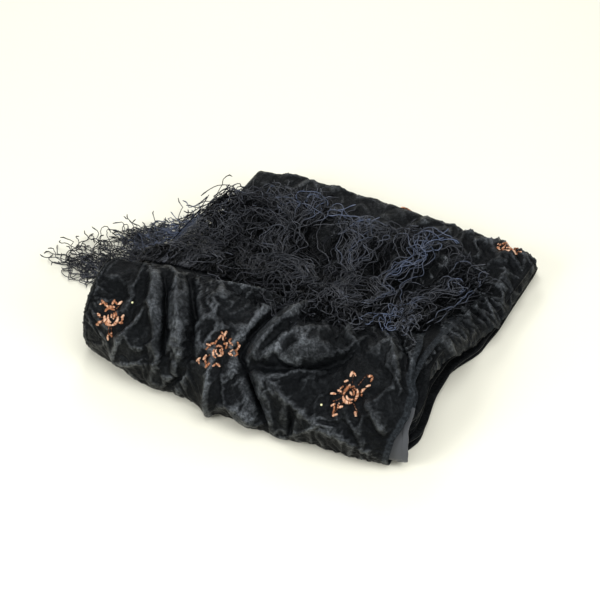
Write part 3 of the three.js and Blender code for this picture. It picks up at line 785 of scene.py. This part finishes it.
# Fringe: tassels of kinked yarn from a heading along the end hem
fringe = {
    "leftX": -162.0, "rightX": 106.0, "startX": -298.0, "endX": 134.0, "fall": 42.0,
    "tassels": 60, "yarns": 16, "points": 60, "radius": 0.48,
    # shortest and longest wave, least and most turn: bows that a tassel shares, then curls of each yarn
    "bows": [(60, 105, 0.2, 0.7), (26, 42, 0.1, 0.5)],
    "curls": [(40, 80, 0.15, 0.6), (16, 26, 0.1, 0.44), (8, 13, 0.0, 0.22)],
    # at the left and at the right: how curly, how high the heap, how springy the tips and how pale
    "curly": (2.0, 0.85), "heap": (5.0, 9.0), "spring": (2.0, 0.7), "pale": (0.49, 0.92),
    "middleRank": 0.48,  # usual place in the heap, from 0 to 1, under which a yarn is painted dark as shade
    # x, reach, turn away from straight back, share of tassels that fall forward again
    "lie": np.array([(-162, 160, 1.36, 0.0), (-140, 172, 1.02, 0.0), (-110, 195, 0.62, 0.05),
                     (-70, 212, 0.52, 0.25), (-20, 212, 0.47, 0.36), (40, 196, 0.2, 0.4),
                     (75, 188, -0.05, 0.34), (106, 142, -0.5, 0.15)], float),
    # x, how far forward and how far back the yarns lie
    "limits": np.array([(-300, 90, 124), (-280, 84, 138), (-258, 68, 152), (-230, 50, 178), (-205, 44, 204),
                        (-185, 62, 222), (-150, 74, 238), (-126, 78, 252), (-110, 80, 270), (-80, 82, 280),
                        (-44, 72, 266), (-28, 62, 252), (-8, 58, 254), (20, 76, 260), (48, 76, 270),
                        (66, 84, 268), (84, 102, 258), (104, 136, 240), (134, 180, 218)], float),
}


def restHeight(x, y):
    edgeX = mix(front["curlX"], back["leftX"] - 4, ease((y - 80) / 50))
    fall = ease((x - edgeX + fringe["fall"]) / fringe["fall"])
    return heightAt(np.maximum(x, edgeX), y) * fall


# Shortens each yarn until it ends inside the mass
def trimYarns(rootX, rootY, x, y):
    shortest = 0.4
    ragged = rng.uniform(-14, 8, rootX.shape)
    kept = np.full(rootX.shape, shortest)
    for part in np.linspace(shortest, 1, 25):
        tryX, tryY = mix(rootX, x, part), mix(rootY, y, part)
        near, far = tableAt(fringe["limits"], tryX)
        past = [tryY - far, near - tryY, tryX - fringe["endX"], fringe["startX"] - tryX]
        over = np.maximum.reduce(past)[:, fringe["points"] // 3:]
        kept = np.where(np.percentile(over - ragged, 90, axis=1, keepdims=True) <= 0, part, kept)
    return np.minimum(mix(rootX, x, kept), fringe["endX"]), mix(rootY, y, kept)


# Each yarn's root on the heading and its way over the cloth: arrays have a row for each yarn
def layYarns():
    groups = fringe["tassels"]
    tassel = np.repeat(np.arange(groups), fringe["yarns"])
    habits = np.split(rng.normal(size=(groups, 8))[tassel], 8, axis=1)
    longer, spread, firstPhase, secondPhase, standing, _, side, twist = habits
    chances = np.split(rng.random((groups, 6))[tassel], 6, axis=1)
    doubling, firstSize, secondSize, firstDepth, secondDepth, slack = chances
    share = (tassel[:, None] + 0.5) / groups
    each = share.shape
    rootX = mix(fringe["leftX"], fringe["rightX"], share ** 1.2) + rng.normal(0, 2.0, each)
    rootY = hemLine(rootX) + mix(9, -3.5, ease((rootX + 70) / 60)) + rng.uniform(-3, 3, each)
    reach, base, forward = tableAt(fringe["lie"], rootX)
    length = reach * (1.12 + 0.07 * longer + rng.normal(0, 0.08, each))
    s = np.linspace(0, 1, fringe["points"])[None, :] * length
    loose = ease((rootX + 140) / 50)
    parting = mix(0.06, 0.3, loose) * np.sin(2 * np.pi * (7.3 * share + 0.2))
    base = base + mix(0.2, 0.14, loose) * spread + parting + rng.normal(0, 0.07, each)
    turn = base * ease(s / length / 0.35)
    # some tassels double back and fall over the hem
    doubled = doubling < forward
    bend = np.sign(side) * (np.pi + 0.35 * twist) + rng.normal(0, 0.2, each)
    bendAt = np.clip(60 + 18 * secondPhase + rng.normal(0, 5, each), 30, 110)
    turn = turn + doubled * bend * ease((s - bendAt) / (22 + 14 * slack))
    bowHabits = ((firstSize, firstDepth, firstPhase), (secondSize, secondDepth, secondPhase))
    for (low, high, least, most), (sizeAt, depthAt, phase) in zip(fringe["bows"], bowHabits):
        depth = mix(least, most, depthAt)
        turn = turn + depth * np.sin(2 * np.pi * (s / mix(low, high, sizeAt) + phase)) * ease(s / 25)
    for low, high, least, most in fringe["curls"]:
        size = rng.uniform(low, high, each)
        depth = rng.uniform(least, most, each) * mix(*fringe["curly"], loose) * (0.4 + 0.9 * s / length)
        turn = turn + depth * np.sin(2 * np.pi * (s / size + rng.random(each))) * ease(s / 14)
    turn = turn + rng.normal(0, 2.0, each) * ease((s / length - 0.78) / 0.22)
    step = length / (fringe["points"] - 1)
    x = rootX - np.cumsum(np.sin(turn) * step, axis=1)
    y = rootY + np.cumsum(np.cos(turn) * step, axis=1)
    x, y = trimYarns(rootX, rootY, x, y)
    return tassel, x, y, s, s / length, standing, doubled


# The mass is heaped, and each yarn rises and dips in it
def raiseYarns(x, y, s, share, standing, doubled):
    each = standing.shape
    heap = 0.75 + 0.5 * waves(x / 45, y / 45, 60) + 0.25 * waves(x / 17, y / 17, 61)
    rank = unit(fringe["middleRank"] + 0.2 * standing + rng.normal(0, 0.17, each))
    heaped = mix(*fringe["heap"], ease((x + 120) / 60))
    settled = 1 - mix(0.45, 0.85, doubled) * share ** 2
    lift = (0.5 + heaped * rank) * heap * ease(s / mix(20, 60, rank)) * settled
    size = rng.uniform(18, 45, each)
    swell = np.sin(2 * np.pi * (s / size + rng.random(each))) * ease(s / 18)
    lift = lift + rng.uniform(0.4, 2.2, each) * swell
    # springy tips stand up, most of all where the mass spills over the left end
    spring = np.maximum(rng.normal(-1, 5, each), 0) * mix(*fringe["spring"], ease((x + 160) / 60))
    lift = lift + spring * ease((share - 0.7) / 0.3) * (1 - doubled)
    hemY = hemLine(x)
    overCloth = ease((x + 178) / 20)
    onCloth = (1.6 + 1.4 * ease((hemY - y) / 8) - 2.2 * ease((y - hemY) / 8)) * overCloth * ease(s / 9)
    rooted = 3.6 * ease((y - hemY) / 6) * (1 - ease(s / 24)) * overCloth
    z = restHeight(x, y) + np.maximum(lift, innerFloor) + fringe["radius"] + onCloth - rooted
    return z, rank


# Yarns low in the heap are painted dark as shade, and those at the back and over the left end are painted
# paler where light catches them
def toneYarns(x, y, rank):
    patchy = 0.85 + 0.75 * waves(x / 36, y / 60, 62)
    # painted shade: yarns lower in the heap get a darker tone
    tone = mix(*fringe["pale"], ease((x - 10) / 50)) * patchy * ease((rank - fringe["middleRank"]) / 0.36)
    tone = tone + rng.normal(0, 0.1, rank.shape)
    # painted light: yarns at the back and over the left end are paler where light catches them, more so high
    # in the heap
    caughtLight = 0.36 * ease((y - 218) / 36) + 0.4 * (1 - ease((x + 190) / 40))
    return unit(tone + caughtLight * mix(0.5, 1, rank))


# Three-sided tubes along many paths at once, with a knot at each tip
def makeYarns(name, paths, tones, radius):
    count, points = paths.shape[:2]
    along = direction(np.gradient(paths, axis=1))
    side = direction(np.cross(along, (0.05, 0.08, 1.0)))
    up = np.cross(side, along)
    swollen = np.full((1, points, 1), radius)
    swollen[0, -3:, 0] = radius * np.array([1.1, 1.6, 0.9])
    start = (np.arange(count)[:, None] * points + np.arange(points - 1)[None, :]).reshape(-1) * 3
    rings, quads = [], []
    for k in range(3):
        angle = 2 * math.pi * k / 3 + math.pi / 2
        rings.append(paths + swollen * (math.cos(angle) * side + math.sin(angle) * up))
        after = (k + 1) % 3
        quads.append(np.stack([start + k, start + after, start + 3 + after, start + 3 + k], axis=1))
    spots = np.stack(rings, axis=2)
    spots[..., 2] = np.maximum(spots[..., 2], innerFloor)
    spots = toRow(*np.moveaxis(spots, -1, 0)).reshape(-1, 3)
    obj = makeToned(name, spots, np.concatenate(quads).tolist(), np.repeat(tones.reshape(-1), 3))
    obj.data.materials.append(yarn)
    return obj


tassel, yarnX, yarnY, yarnS, yarnShare, standing, doubled = layYarns()
yarnZ, rank = raiseYarns(yarnX, yarnY, yarnS, yarnShare, standing, doubled)
tones = toneYarns(yarnX, yarnY, rank)
paths = np.stack([yarnX, yarnY, yarnZ], axis=-1)
third = tassel * 3 // fringe["tassels"]
yarnPieces = [makeYarns(name, paths[third == k], tones[third == k], fringe["radius"])
              for k, name in enumerate(("fringeLeft", "fringeMiddle", "fringeRight"))]
for piece in yarnPieces:
    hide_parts("fringe")
print("fringe made")

# Embroidered sprigs: where each one is on its cloth as (x, v), and its buds in millimetres from its middle
sprigs = [
    {"at": (-154, 0.45), "size": 1.12, "spread": 0.88, "facing": -1.9,
     "buds": [(3, 15), (-4, 13), (-14, 9), (-10, 7), (12, 5), (13, -1), (-14, -5), (-10, -11),
              (-14, -16), (8, -15), (4, -20)]},
    {"at": (-46, 0.49), "size": 0.64, "spread": 0.82, "facing": -2.4,
     "buds": [(0, 15), (-4, 11), (4, 8), (10, 10), (18, 10), (17, 5), (13, 1), (-12, 2), (-8, 4),
              (-18, -13), (-12, -9), (-5, -14), (4, -11)]},
    {"at": (80, 0.5), "size": 0.95, "spread": 0.82, "facing": -1.6,
     "buds": [(-7, 15), (-10, 9), (11, 18), (13, 11), (10, 6), (-18, -4), (-13, 0), (-13, -13),
              (-5, -13), (-8, -21), (12, -14)]},
]
backSprigs = [
    {"at": (124, 1.838), "size": 0.85, "spread": 0.85, "facing": -1.4,
     "buds": [(-14, 3), (-9, 7), (12, 4), (8, -6), (-3, 13), (3, 20), (-12, -5)]},
    {"at": (6, 1.918), "size": 0.9, "spread": 0.9, "facing": 1.2,
     "buds": [(-12, 3), (11, 6), (-6, 13), (7, -9), (-3, -10), (14, -2)]},
    {"at": (-98, 1.945), "size": 0.9, "spread": 0.9, "facing": 0.4,
     "buds": [(-13, -3), (12, 6), (5, 14), (-8, -12), (-2, 15), (13, -7)]},
]
sewing = {
    "rowGap": 0.85, "thread": 1.15, "thickness": 0.8, "toneSpread": 0.22,
    # curved petals round the heart, open on one side: distance, start, span, width, height, tone
    "rosette": [(6.8, -0.9, 1.7, 4.0, 0.4, 0.7), (6.4, 1.0, 1.4, 3.6, 0.5, 0.85),
                (6.6, -2.6, 1.5, 3.8, 0.4, 0.55), (3.6, -1.3, 2.2, 2.7, 0.8, 0.9),
                (3.2, 1.3, 1.6, 2.2, 0.8, 0.6)],
}


# Where a stitch is sewn: a point of its cloth, two directions in the cloth and one out of it
def clothFrame(grid, place, clothX, v):
    near = 0.8
    spots = []
    for dx, dv in ((0, 0), (near, 0), (0, near)):
        u, w = place(np.array([clothX + dx]), np.array([v + dv / vLength]))
        spots.append(gridPoint(grid, u, w)[0])
    here, right, up = spots
    alongX = direction(right - here)
    normal = direction(np.cross(alongX, up - here))
    return here, alongX, np.cross(normal, alongX), normal


def onFront(clothX, v):
    return (clothX - front["leftX"]) / (tableAt(front["hems"], v)[0] - front["leftX"]), v


def onBack(clothX, v):
    leftX, rightX = backEnds(v)
    return (clothX - leftX) / (rightX - leftX), (v - back["startV"]) / (back["endV"] - back["startV"])


def stitch(frameAt, turn, length, width, raised):
    here, alongX, alongV, normal = frameAt
    lengthways = math.cos(turn) * alongX + math.sin(turn) * alongV
    across = np.cross(normal, lengthways)
    spot = here + normal * raised / 1000
    columns = [lengthways * length / 2000, across * width / 2000, normal * sewing["thickness"] / 1000]
    return np.stack([*columns, spot], axis=1)


def polar(a, b, turn, far):
    return a + far * math.cos(turn), b + far * math.sin(turn)


# A sprig in satin stitch: threads side by side, each one a little off
def sprigStitches(sprig, grid, place, perV):
    middleX, middleV = sprig["at"]
    size, facing = sprig["size"], sprig["facing"]
    made = []

    def sew(a, b, turn, length, width, raised, tone):
        spot = clothFrame(grid, place, middleX + a, middleV + b / perV)
        shade = unit(tone + rng.normal(0, sewing["toneSpread"]))
        made.append((stitch(spot, turn, length, width, raised), shade))

    def petal(a, b, turn, length, width, raised, tone):
        rows = max(3, round(length / sewing["rowGap"]))
        for k in range(rows):
            t = (2 * k + 1) / rows - 1
            off = t * length / 2
            slant = turn + 1.2 + rng.uniform(-0.15, 0.15)
            reach = max(width * math.sqrt(1 - t * t), 0.9) + rng.uniform(-0.3, 0.5)
            sew(*polar(a, b, turn, off), slant, reach, sewing["thread"], raised, tone)

    def band(a, b, far, start, span, width, raised, tone):
        rows = round(far * span / sewing["rowGap"])
        for k in range(rows):
            t = (k + 0.5) / rows
            turn = start + span * t
            slant = turn + 0.4 + rng.uniform(-0.15, 0.15)
            reach = width * (0.35 + 0.75 * math.sin(math.pi * t)) + rng.uniform(-0.3, 0.4)
            sew(*polar(a, b, turn, far), slant, reach, sewing["thread"], raised, tone)

    for far, start, span, width, raised, tone in sewing["rosette"]:
        shiftA, shiftB = rng.uniform(-0.8, 0.8, 2)
        start = facing + start + rng.uniform(-0.2, 0.2)
        band(shiftA, shiftB, far * size, start, span, width * size, raised, tone)
    petal(0.4, 0.2, facing + 0.8, 3.2 * size, 2.4 * size, 1.0, 0.75)
    # two small petals on the open side
    for k in range(2):
        turn = facing + math.pi + 0.9 * (k - 0.5) + rng.uniform(-0.2, 0.2)
        a, b = polar(0, 0, turn, 5 * size)
        petal(a, b, turn + 1.57 + rng.uniform(-0.5, 0.5), 4.6 * size, 2.2, 0.5, 0.5)
    # buds, most of them on a stem and some in pairs
    for a, b in np.array(sprig["buds"]) * sprig["spread"]:
        turn = math.atan2(b, a) + rng.uniform(-0.2, 0.2)
        if rng.random() < 0.8:
            for off in np.arange(8, math.hypot(a, b) - 1, 2.0):
                slant = turn + rng.uniform(-0.3, 0.3)
                sew(*polar(0, 0, turn, off), slant, 2.1, 0.5, 0.15, 0.2)
        lean = rng.uniform(-0.9, 0.9)
        petal(a, b, turn + lean, rng.uniform(3.6, 4.8), rng.uniform(2.5, 3.3), 0.6, rng.uniform(0.55, 0.95))
        if rng.random() < 0.7:
            side = turn + rng.choice((-1.7, 1.7))
            beside = polar(a, b, side, 2.6)
            petal(*beside, turn + lean + 1.1, rng.uniform(2.6, 3.6), 2.1, 0.5, rng.uniform(0.3, 0.8))
    return made


grain = bmesh.new()
bmesh.ops.create_uvsphere(grain, u_segments=6, v_segments=5, radius=1)
grain.verts.ensure_lookup_table()
stitches = [made for sprig in sprigs for made in sprigStitches(sprig, frontGrid, onFront, vLength)]
stitches += [made for sprig in backSprigs for made in sprigStitches(sprig, backGrid, onBack, backLength)]
matrices = np.array([matrix for matrix, tone in stitches])
stitchTones = np.array([tone for matrix, tone in stitches])
embroidery = joinCopies("embroidery", grain, matrices, stitchTones)
embroidery.data.materials.append(floss)
print("embroidery made", len(stitches))

# Seed beads, at (x, v) on the front
beads = {"at": [(58, 0.42), (-140, 0.56)], "size": 2.2, "raised": 0.8}
beadSpots = [stitch(clothFrame(frontGrid, onFront, x, v), 0, beads["size"], beads["size"], beads["raised"])
             for x, v in beads["at"]]
beading = joinCopies("beads", grain, np.array(beadSpots), np.ones(len(beadSpots)))
beading.data.materials.append(glass)
grain.free()
print("beads made")

for piece in (frontPly, underPly, backPly, hidden, embroidery, beading, *yarnPieces):
    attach(piece, "root")

# Pale floor and soft light
studio = {
    "floor": "#e0dfd2", "air": "#fffdf6", "strength": 0.36, "aim": (0, 0, 0.03),
    # name, place in metres, size, watts
    "lamps": [
        ("key", (-0.7, -1.3, 0.9), 0.7, 17),
        ("top", (0.3, -0.2, 1.8), 1.4, 22),
        ("back", (-0.6, 1.1, 1.05), 0.6, 8),
        ("right", (1.5, -0.2, 0.9), 0.8, 11),
        ("fill", (1.1, -0.9, 0.45), 1.0, 4),
    ],
}
floor = makeSheet("floor", 1, 1, lambda u, w: np.stack([8 * u - 4, 8 * w - 4, 0 * u], axis=-1))
paper, tree = newMaterial("pale floor")
shader = node(tree, "BsdfPrincipled", Base_Color=srgb(studio["floor"]), Roughness=0.9,
              Specular_IOR_Level=0.1)
finishMaterial(tree, shader)
floor.data.materials.append(paper)

world = bpy.data.worlds.new("studio")
world.use_nodes = True
world.node_tree.nodes["Background"].inputs["Color"].default_value = srgb(studio["air"])
world.node_tree.nodes["Background"].inputs["Strength"].default_value = studio["strength"]
scene.world = world
for name, place, size, power in studio["lamps"]:
    lamp = bpy.data.lights.new(name, "AREA")
    lamp.size = size
    lamp.energy = power
    lampObject = addObject(name, lamp)
    lampObject.location = place
    lampObject.rotation_euler = (Vector(studio["aim"]) - Vector(place)).to_track_quat("-Z", "Y").to_euler()

# Camera at the photo's angle
shot = {
    "azimuth": 26.167, "elevation": 41.936, "distance": 1.69749,
    "target": (-30.272, 141.478, 20), "lens": 108, "sensor": 36,
}
target = Vector(toRow(*[np.array(c, float) for c in shot["target"]]))
a, e = math.radians(shot["azimuth"]), math.radians(shot["elevation"])
away = Vector((math.sin(a) * math.cos(e), -math.cos(a) * math.cos(e), math.sin(e)))
cameraData = bpy.data.cameras.new("camera")
cameraData.lens = shot["lens"]
cameraData.sensor_width = shot["sensor"]
camera = addObject("camera", cameraData)
camera.location = target + away * shot["distance"]
camera.rotation_euler = away.to_track_quat("Z", "Y").to_euler()
scene.camera = camera
scene.view_settings.view_transform = "Standard"
print("floor, light and camera set")
